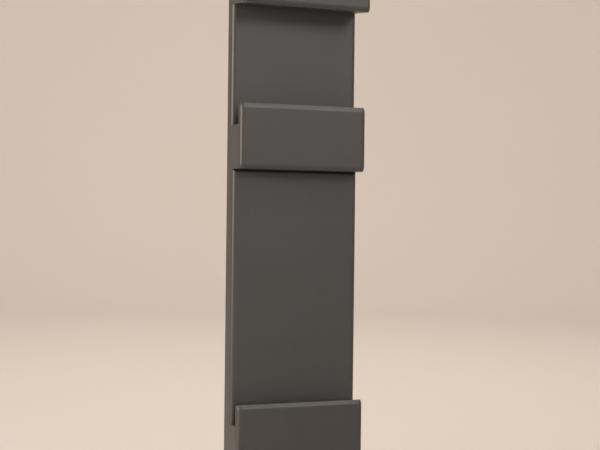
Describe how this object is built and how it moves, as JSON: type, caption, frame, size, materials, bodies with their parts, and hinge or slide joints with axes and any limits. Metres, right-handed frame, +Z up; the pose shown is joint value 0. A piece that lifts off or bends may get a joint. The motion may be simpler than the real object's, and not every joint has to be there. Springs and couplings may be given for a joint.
{
  "type": "pegboard t square holder rail",
  "caption": "Upright holder rail for a slotted pegboard, with stacked ledges whose lips form pockets for T-squares and rules.",
  "frame": {"origin": "on the back face of the rail, which lies on the front of the pegboard, midway between the two middle hooks", "axes": "+Z up along the rail, -Y out of the front face, +Y into the board, X across the rail"},
  "size_m": [0.0242, 0.0169, 0.1749],
  "materials": {
    "rail_plastic": "matt dark grey printed plastic with fine layer lines",
    "hook_plastic": "matt dark grey printed plastic with fine layer lines",
    "screw_steel": "bright zinc plate"
  },
  "bodies": {
    "root": {"module_top": "rail_plastic", "module_upper": "rail_plastic", "module_lower": "rail_plastic", "module_bottom": "rail_plastic", "hook_strip": "rail_plastic", "hook_top": "hook_plastic", "hook_upper": "hook_plastic", "hook_lower": "hook_plastic", "hook_bottom": "hook_plastic", "module_screws": "screw_steel"}
  },
  "joints": []
}
